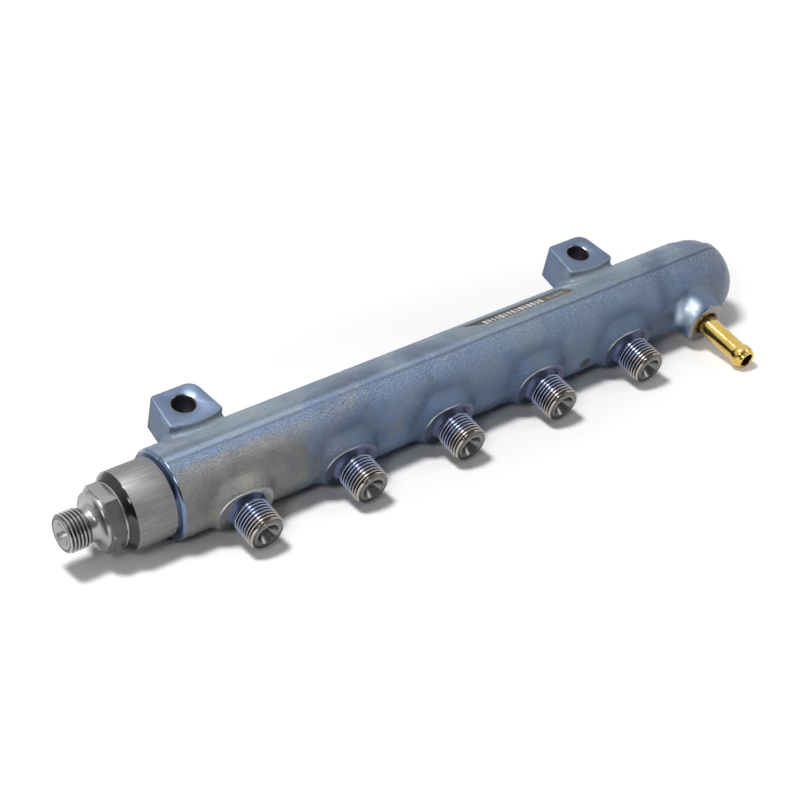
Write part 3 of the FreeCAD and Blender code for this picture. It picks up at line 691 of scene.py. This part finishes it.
def realize_and_shade(w, instances, finish):
    """The end of each geometry tree: copies on points, made real and given their finish."""
    placed = w.node("GeometryNodeInstanceOnPoints", instances)
    real = w.node("GeometryNodeRealizeInstances", {"Geometry": placed.outputs[0]})
    shaded_copies = w.node("GeometryNodeSetMaterial", {"Geometry": real.outputs[0], "Material": finish})
    w.node("NodeGroupOutput", {0: shaded_copies.outputs[0]})


def run_tree(name, tree, values):
    """Run a geometry tree on an empty mesh and return its result as a plain object."""
    carrier = add_object(name + "_carrier", bpy.data.meshes.new(name + "_carrier"))
    modifier = carrier.modifiers.new("Build", "NODES")
    modifier.node_group = tree
    for item in tree.interface.items_tree:
        if item.in_out == "INPUT" and item.name in values:
            modifier[item.identifier] = values[item.name]
    bpy.context.view_layer.update()
    shown = carrier.evaluated_get(bpy.context.evaluated_depsgraph_get())
    mesh = bpy.data.meshes.new_from_object(shown)
    mesh.name = name
    bpy.data.objects.remove(carrier)
    work = bmesh.new()
    work.from_mesh(mesh)
    bmesh.ops.recalc_face_normals(work, faces=work.faces[:])
    work.to_mesh(mesh)
    work.free()
    return add_object(name, mesh)


def threaded_sleeves(name, values):
    """Sleeves with the common thread size, and with the pitch, length and places from values."""
    tree = bpy.data.node_groups.get("Threaded sleeves") or build_thread_tree()
    piece = run_tree(name, tree, {
        "Crest radius": STUB_RADIUS,
        "Root radius": STUB_RADIUS - settings().thread_depth,
        "Inner radius": SLEEVE_INNER_RADIUS,
        "Tip radius": STUB_TIP_RADIUS,
        **values,
    })
    smooth(piece.data, 40.0)
    return piece


# Operators

class FUELRAIL_OT_body(bpy.types.Operator):
    """Dress the forged body: finishes by zone, and stubs drawn in under their threads"""
    bl_idname = "fuelrail.body"
    bl_label = "Rail body"

    ZONES = ("forging", "collar", "collar_edge_dark_reflection", "ring", "shoulder", "faced", "rim", "boss_face",
             "lug_face", "stub_ring", "seat", "tip", "bore", "dent", "label")

    # Reach of the zones beyond the sizes that they share with the solids
    SOCKET_REACH = SHANK_RADIUS + 0.2 * MM
    BORE_FRONT = 14.0 * MM
    COLLAR_BORE = 11.0 * MM
    COLLAR_CHAMFER = 2.1 * MM
    RING_WIDTH = 0.9 * MM
    SHOULDER_WIDTH = 1.1 * MM
    PAD_REACH = 13.0 * MM
    RIM_WIDTH = 0.31 * MM
    BOSS_BORE = 5.3 * MM
    BOSS_CHAMFER = 0.7 * MM
    DENT_REACH = 2.9 * MM
    LUG_CHAMFER = 0.45 * MM
    RECESS_START_X = -2.0 * MM
    RECESS_END_X = 78.0 * MM

    def execute(self, context):
        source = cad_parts["rail_body"]
        work = bmesh.new()
        work.from_mesh(source.data)
        bmesh.ops.remove_doubles(work, verts=work.verts[:], dist=0.002 * MM)
        self.sink_thread_roots(work)
        for face in work.faces:
            face.material_index = self.ZONES.index(self.zone(face))
        mesh = to_mesh(work, "rail_forging")
        for name in self.ZONES:
            mesh.materials.append(finishes()[name])
        smooth(mesh, 28.0)
        piece = add_object("rail_forging", mesh)
        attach(piece, "root")
        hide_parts("rail_body")
        return {"FINISHED"}

    def sink_thread_roots(self, work):
        """Draw the plain thread cylinders in to the root, and their tips in to the sleeves' inner edge."""
        drawn_in = ((STUB_RADIUS, core_radius()), (STUB_TIP_RADIUS, SLEEVE_INNER_RADIUS))
        reach = 0.1 * MM
        for vert in work.verts:
            spot = from_rail(vert.co)
            if spot.y > -STUB_RING_END + reach:
                continue
            for index in range(STUB_COUNT):
                across = Vector((spot.x - STUB_FIRST_X - index * STUB_PITCH, 0.0, spot.z))
                for radius, inner in drawn_in:
                    if abs(across.length - radius) < reach:
                        across.length = inner
                        x = STUB_FIRST_X + index * STUB_PITCH + across.x
                        vert.co = on_rail(x, spot.y, across.z)
                        break

    def zone(self, face):
        """Name of the finish that a face of the body takes, from where it lies."""
        spot = from_rail(face.calc_center_median())
        from_axis = math.hypot(spot.y, spot.z)
        in_bore = abs(spot.x) < BORE_END_X and spot.y > -self.BORE_FRONT
        if from_axis < self.SOCKET_REACH and in_bore:
            return "bore"
        if spot.x < SHOULDER_X + self.SHOULDER_WIDTH and from_axis < BODY_RADIUS - 0.02 * MM:
            return self.collar_zone(spot, from_axis)
        if spot.y < 0.0:
            return self.front_zone(spot, from_axis) or "forging"
        return self.back_zone(face, spot, from_axis) or "forging"

    def collar_zone(self, spot, from_axis):
        if from_axis < self.COLLAR_BORE:
            return "bore"
        # The front chamfer takes the near-black finish, a painted dark reflection
        if spot.x < COLLAR_END_X + self.COLLAR_CHAMFER:
            return "collar_edge_dark_reflection"
        if spot.x > SHOULDER_X + NEAR:
            return "shoulder"
        if spot.x > SHOULDER_X - self.RING_WIDTH:
            return "ring"
        return "collar"

    def front_zone(self, spot, from_axis):
        """Finishes of the stubs, pads, nipple boss and hardness dent, which stand on the front."""
        nearest = min(max(round((spot.x - STUB_FIRST_X) / STUB_PITCH), 0), STUB_COUNT - 1)
        across = math.hypot(spot.x - STUB_FIRST_X - nearest * STUB_PITCH, spot.z)
        if across < self.PAD_REACH:
            if across < SEAT_RADIUS:
                return "seat" if spot.y < -STUB_RING_END else "bore"
            if spot.y < -STUB_HEIGHT + NEAR:
                return "tip"
            if spot.y < -PAD_HEIGHT - NEAR:
                return "stub_ring"
            # Pad faces and rims take finishes painted with light and shade
            if abs(spot.y + PAD_HEIGHT) < NEAR:
                return "faced"
            if spot.y < -PAD_HEIGHT + self.RIM_WIDTH:
                return "rim"
        across = math.hypot(spot.x - NIPPLE_X, spot.z)
        if across < self.BOSS_BORE:
            return "bore"
        if across < BOSS_RADIUS + 0.1 * MM and spot.y < -BOSS_HEIGHT + self.BOSS_CHAMFER:
            return "boss_face"
        dent = Vector((DENT_X, -BODY_RADIUS * math.cos(DENT_ANGLE), -BODY_RADIUS * math.sin(DENT_ANGLE)))
        if (spot - dent).length < self.DENT_REACH and from_axis < BODY_RADIUS - NEAR:
            return "dent"
        return None

    def back_zone(self, face, spot, from_axis):
        """Finishes of the lugs and of the label recess, which lie on the back."""
        normal = face.normal
        across = math.hypot(abs(spot.x) - LUG_X, face.calc_center_median().y)
        in_hole = across < LUG_HOLE_RADIUS + self.LUG_CHAMFER and spot.z > LUG_BOTTOM
        if in_hole and abs(normal.z) < 0.9:
            return "seat" if spot.z > LUG_TOP - 0.5 * MM else "bore"
        if abs(spot.z - LUG_TOP) < NEAR and normal.z > 0.9:
            return "lug_face"
        sunk = from_axis < BACK_RADIUS - 0.15 * MM and normal.dot(RECESS_OUTWARD) > 0.999
        if sunk and self.RECESS_START_X < spot.x < self.RECESS_END_X:
            return "label"
        return None


class FUELRAIL_OT_stub_threads(bpy.types.Operator):
    """Make the five threaded sleeves of the stubs"""
    bl_idname = "fuelrail.stub_threads"
    bl_label = "Stub threads"

    def execute(self, context):
        piece = threaded_sleeves("stub_threads", {
            "Pitch": settings().thread_pitch,
            "Length": STUB_HEIGHT - STUB_RING_END,
            "Count": STUB_COUNT,
            "Spacing": STUB_PITCH,
            "Start": on_rail(STUB_FIRST_X, -STUB_RING_END, 0.0),
            "Finish": finishes()["thread"],
        })
        piece.data.materials.append(finishes()["tip"])
        tip = AXIS_Y - STUB_HEIGHT + 0.01 * MM
        for face in piece.data.polygons:
            if face.center.y < tip and face.normal.y < -0.9:
                face.material_index = 1
        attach(piece, "root")
        return {"FINISHED"}


class FUELRAIL_OT_inlet(bpy.types.Operator):
    """Make the screwed inlet fitting: hexagon, flared neck, thread and pipe seat"""
    bl_idname = "fuelrail.inlet"
    bl_label = "Inlet fitting"

    SHANK_X = -116.6 * MM
    FLANGE_X = -129.8 * MM
    HEX_FRONT_X = -134.8 * MM
    NOSE_X = -136.1 * MM
    NECK_X = -138.7 * MM
    THREAD_X = -139.7 * MM
    TIP_X = -147.9 * MM
    FLANGE_RADIUS = 11.7 * MM
    CORE_RADIUS = 10.4 * MM
    NOSE_RADIUS = 10.2 * MM
    NECK_RADIUS = 6.1 * MM
    BORE_RADIUS = 1.6 * MM
    SEAT_DEPTH = 5.2 * MM
    ACROSS_FLATS = 21.0 * MM
    TURN = math.radians(47.0)

    def execute(self, context):
        turned = self.turned_piece()
        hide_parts("inlet_fitting")
        for piece in (turned, self.hexagon(), self.thread()):
            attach(piece, "root")
        return {"FINISHED"}

    def turned_piece(self):
        profile = [
            (self.SHANK_X, self.BORE_RADIUS),
            (self.SHANK_X, SHANK_RADIUS - 0.8 * MM),
            (self.SHANK_X - 0.8 * MM, SHANK_RADIUS),
            (COLLAR_END_X, SHANK_RADIUS),
            (COLLAR_END_X, self.FLANGE_RADIUS - 0.2 * MM),
            (COLLAR_END_X - 0.15 * MM, self.FLANGE_RADIUS),
            (self.FLANGE_X + 0.15 * MM, self.FLANGE_RADIUS),
            (self.FLANGE_X, self.FLANGE_RADIUS - 0.15 * MM),
            (self.FLANGE_X, self.CORE_RADIUS),
            # A fine groove between the hexagon and the nose
            (self.HEX_FRONT_X - 0.10 * MM, self.CORE_RADIUS),
            (self.HEX_FRONT_X - 0.22 * MM, self.CORE_RADIUS - 0.25 * MM),
            (self.HEX_FRONT_X - 0.42 * MM, self.CORE_RADIUS - 0.30 * MM),
            (self.HEX_FRONT_X - 0.55 * MM, self.CORE_RADIUS - 0.05 * MM),
            (self.NOSE_X + 0.25 * MM, self.CORE_RADIUS - 0.05 * MM),
            (self.NOSE_X, self.NOSE_RADIUS),
            *self.flare(),
            (self.NECK_X - 0.2 * MM, self.NECK_RADIUS),
            (self.THREAD_X, core_radius()),
            (self.TIP_X + 0.8 * MM, core_radius()),
            (self.TIP_X, SLEEVE_INNER_RADIUS),
            (self.TIP_X, SEAT_RADIUS),
            (self.TIP_X + 0.1 * MM, SEAT_RADIUS - 0.15 * MM),
            (self.TIP_X + self.SEAT_DEPTH, self.BORE_RADIUS),
        ]
        place = Matrix.Translation(on_rail(0.0, 0.0, 0.0))
        return finished_piece("inlet_turned", lathe(profile, 96, place), "fitting", 30.0)

    def flare(self):
        """Concave sweep from the nose down to the neck."""
        steps = 12
        drop, run = self.NOSE_RADIUS - self.NECK_RADIUS, self.NOSE_X - self.NECK_X
        angles = [math.pi / 2.0 * step / steps for step in range(1, steps + 1)]
        return [(self.NOSE_X - run * (1.0 - math.cos(angle)), self.NOSE_RADIUS - drop * math.sin(angle))
                for angle in angles]

    def hexagon(self):
        """Six-sided collar with corners cut by a cone at the front, as turning leaves them."""
        work = bmesh.new()
        steps, cone_slope = 12, 0.55
        axis = on_rail(0.0, 0.0, 0.0)
        back, shoulder, front = [], [], []
        for index in range(6 * steps):
            angle = self.TURN + 2.0 * math.pi * index / (6 * steps)
            local = (angle - self.TURN) % math.radians(60.0) - math.radians(30.0)
            flat = self.ACROSS_FLATS / 2.0 / math.cos(local)
            rim = min(flat, self.FLANGE_RADIUS)
            cone_x = self.HEX_FRONT_X + max(0.0, flat - rim) * cone_slope
            outward = Vector((0.0, math.cos(angle), math.sin(angle)))
            for ring, x, radius in ((back, self.FLANGE_X, flat), (shoulder, cone_x + 0.05 * MM, flat),
                                    (front, self.HEX_FRONT_X, rim - 0.05 * MM)):
                ring.append(work.verts.new(axis + Vector((x, 0.0, 0.0)) + outward * radius))
        join_rings(work, [back, shoulder, front], closed=False)
        work.faces.new(back)
        work.faces.new(front)
        bmesh.ops.recalc_face_normals(work, faces=work.faces[:])
        return finished_piece("inlet_hexagon", work, "fitting", 20.0)

    def thread(self):
        return threaded_sleeves("inlet_thread", {
            "Pitch": settings().inlet_pitch,
            "Length": self.THREAD_X - self.TIP_X,
            "Count": 1,
            "Start": on_rail(self.THREAD_X, 0.0, 0.0),
            "Turn": Vector((0.0, 0.0, -math.pi / 2.0)),
            "Finish": finishes()["inlet_thread"],
        })


class FUELRAIL_OT_nipple(bpy.types.Operator):
    """Make the brass return nipple with its bead and chamfered tip"""
    bl_idname = "fuelrail.nipple"
    bl_label = "Return nipple"

    SEAT = 15.3 * MM
    TIP = 46.7 * MM
    TUBE_RADIUS = 4.0 * MM
    BORE_RADIUS = 2.8 * MM

    def execute(self, context):
        profile = [
            (self.SEAT, self.BORE_RADIUS), (self.SEAT, self.TUBE_RADIUS),
            # The bead, from the tube's side to the tip's
            (40.9 * MM, self.TUBE_RADIUS), (41.3 * MM, 4.03 * MM), (41.9 * MM, 4.25 * MM),
            (42.4 * MM, 4.50 * MM), (42.8 * MM, 4.64 * MM), (43.3 * MM, 4.70 * MM), (44.1 * MM, 4.70 * MM),
            (44.6 * MM, 4.64 * MM), (45.1 * MM, 4.45 * MM), (45.6 * MM, 4.15 * MM), (45.9 * MM, 4.02 * MM),
            (self.TIP - 0.25 * MM, 3.95 * MM), (self.TIP - 0.05 * MM, 3.85 * MM), (self.TIP, 3.65 * MM),
            (self.TIP, self.BORE_RADIUS + 0.2 * MM), (self.TIP - 0.2 * MM, self.BORE_RADIUS),
        ]
        place = Matrix.Translation(on_rail(NIPPLE_X, 0.0, 0.0)) @ Matrix.Rotation(-math.pi / 2.0, 4, "Z")
        piece = finished_piece("return_nipple_brass", lathe(profile, 72, place), "brass", 35.0)
        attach(piece, "root")
        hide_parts("return_nipple")
        return {"FINISHED"}


class FUELRAIL_OT_label(bpy.types.Operator):
    """Lay blank printed fields into the label recess"""
    bl_idname = "fuelrail.label"
    bl_label = "Label fields"

    # Each row's name, start along the rail, length, height, count, seed and finish
    ROWS = (
        ("label_fields", 34.0 * MM, 29.0 * MM, 3.1 * MM, 15, 7, "ink"),
        ("label_fields_end", 65.0 * MM, 8.5 * MM, 2.4 * MM, 5, 3, "faint_ink"),
    )
    THICKNESS = 0.06 * MM

    def execute(self, context):
        tree = build_label_tree()
        tilt = Matrix.Rotation(RECESS_ANGLE - math.pi / 2.0, 4, "X")
        for name, start, length, height, count, seed, finish in self.ROWS:
            piece = run_tree(name, tree, {
                "Length": length,
                "Height": height,
                "Thickness": self.THICKNESS,
                "Count": count,
                "Seed": seed,
                "Finish": finishes()[finish],
            })
            spot = on_rail(start, 0.0, 0.0) + RECESS_OUTWARD * RECESS_FLOOR
            piece.data.transform(Matrix.Translation(spot) @ tilt)
            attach(piece, "root")
        return {"FINISHED"}


class FUELRAIL_OT_stage(bpy.types.Operator):
    """Set the floor, the lamps and the camera"""
    bl_idname = "fuelrail.stage"
    bl_label = "Stage"

    # The table's upward direction in the frame, and the distance from the rail's axis down to it
    UP = Vector((0.0, 0.266, 0.964)).normalized()
    DROP = 16.85 * MM
    FLOOR_RADIUS = 2.5
    WHITE = (1.0, 1.0, 1.0, 1.0)

    def execute(self, context):
        self.add_floor()
        self.add_world()
        self.add_camera()
        self.add_lamps()
        context.scene.view_settings.view_transform = "Standard"
        return {"FINISHED"}

    def basis(self):
        """Rotation that takes Z to the table's upward direction."""
        return Vector((0.0, 0.0, 1.0)).rotation_difference(self.UP).to_matrix().to_4x4()

    def add_floor(self):
        work = bmesh.new()
        bmesh.ops.create_circle(work, cap_ends=True, segments=96, radius=self.FLOOR_RADIUS)
        work.transform(Matrix.Translation(on_rail(0.0, 0.0, 0.0) - self.UP * self.DROP) @ self.basis())
        mesh = to_mesh(work, "floor")
        mesh.materials.append(self.table_finish())
        add_object("floor", mesh)

    def table_finish(self):
        """Pale table that keeps its shadows near the rail and is plain white farther out."""
        f = FinishWriter("Pale table", 0.0, 0.9)
        f.shader.inputs["Specular IOR Level"].default_value = 0.0
        f.finish((0.90, 0.90, 0.90, 1.0))
        # Distance from the origin, shorter along the rail, so that the plain ground is a long oval
        away = f.vector("LENGTH", f.vector("MULTIPLY", f.place, (0.45, 1.0, 0.6)), output="Value")
        path = f.node("ShaderNodeLightPath").outputs
        seen = f.math("MAXIMUM", path["Is Camera Ray"], path["Is Glossy Ray"])
        veil = f.times(seen, f.span(away, 0.05, 0.16, 0.0, 0.60))
        horizon = f.times(path["Is Camera Ray"], f.span(away, 0.30, 0.80))
        glow = f.node("ShaderNodeEmission", {
            "Color": self.WHITE, "Strength": f.math("MAXIMUM", veil, horizon)})
        both = f.node("ShaderNodeAddShader", {0: f.shader.outputs[0], 1: glow.outputs[0]})
        f.feed(find_node(f.tree, "OUTPUT_MATERIAL").inputs["Surface"], both.outputs[0])
        return f.material

    def add_world(self):
        """Studio light: bright toward the backdrop, dark over the camera, and white where it is seen."""
        world = bpy.data.worlds.new("Studio")
        world.use_nodes = True
        bpy.context.scene.world = world
        w = NodeWriter(world.node_tree)
        backdrop = Vector((0.20, 0.90, 0.35)).normalized()
        sky = w.node("ShaderNodeTexCoord").outputs["Generated"]
        glow = w.span(w.vector("DOT_PRODUCT", sky, backdrop, "Value"), -0.30, 0.60, 0.15, 1.0)
        path = w.node("ShaderNodeLightPath").outputs
        softened = w.times(glow, w.math("MULTIPLY_ADD", path["Is Diffuse Ray"], -0.86, 1.0))
        background = find_node(w.tree, "BACKGROUND")
        w.feed(background.inputs["Color"], self.WHITE)
        w.feed(background.inputs["Strength"], w.math("MAXIMUM", softened, path["Is Camera Ray"]))

    def add_camera(self):
        """The camera at the photograph's place, from its own three directions in the frame."""
        camera = bpy.data.cameras.new("Camera")
        camera.sensor_width = 36.0
        camera.lens = 89.015
        camera.clip_start = 0.01
        camera.clip_end = 20.0
        right = Vector((0.788879, -0.592466, 0.163259))
        up = Vector((0.321859, 0.624625, 0.711513))
        back = Vector((-0.523523, -0.508751, 0.683444))
        view = Matrix((right, up, back)).transposed().to_4x4()
        view.translation = Vector((-0.383979, -0.384969, 0.486034))
        holder = add_object("Camera", camera)
        holder.matrix_world = view
        bpy.context.scene.camera = holder

    def add_lamps(self):
        power = settings().lamp_power
        self.lamp("Key", (-0.30, 0.03, 1.05), 0.24, 0.24, power)
        self.lamp("Left", (-0.72, -0.48, 0.66), 0.20, 0.20, power * 0.16)
        self.lamp("Right", (0.75, -0.60, 0.50), 0.30, 0.6, power * 0.14)

    def lamp(self, name, place, width, depth, power):
        """An area lamp that faces the rail, placed in the table's own directions."""
        lamp = bpy.data.lights.new(name, "AREA")
        lamp.shape = "RECTANGLE"
        lamp.size = width
        lamp.size_y = depth
        lamp.energy = power
        spot = self.basis() @ Vector(place)
        facing = (-spot).to_track_quat("-Z", "Y").to_matrix().to_4x4()
        add_object(name, lamp).matrix_world = Matrix.Translation(spot) @ facing


class FUELRAIL_PT_panel(bpy.types.Panel):
    """Lists the pieces of the fuel rail"""
    bl_idname = "FUELRAIL_PT_panel"
    bl_label = "Fuel Rail"
    bl_space_type = "VIEW_3D"
    bl_region_type = "UI"
    bl_category = "Fuel Rail"

    def draw(self, context):
        column = self.layout.column()
        for name in FuelRailSettings.__annotations__:
            column.prop(context.scene.fuel_rail, name)
        for operator in OPERATORS:
            column.operator(operator.bl_idname)


OPERATORS = (
    FUELRAIL_OT_body,
    FUELRAIL_OT_stub_threads,
    FUELRAIL_OT_inlet,
    FUELRAIL_OT_nipple,
    FUELRAIL_OT_label,
    FUELRAIL_OT_stage,
)
CLASSES = (FuelRailSettings, *OPERATORS, FUELRAIL_PT_panel)


def register():
    for item in CLASSES:
        bpy.utils.register_class(item)
    bpy.types.Scene.fuel_rail = bpy.props.PointerProperty(type=FuelRailSettings)


def unregister():
    del bpy.types.Scene.fuel_rail
    for item in reversed(CLASSES):
        bpy.utils.unregister_class(item)


def main():
    register()
    bpy.ops.fuelrail.body()
    bpy.ops.fuelrail.stub_threads()
    bpy.ops.fuelrail.inlet()
    bpy.ops.fuelrail.nipple()
    bpy.ops.fuelrail.label()
    bpy.ops.fuelrail.stage()


if __name__ == "__main__":
    main()
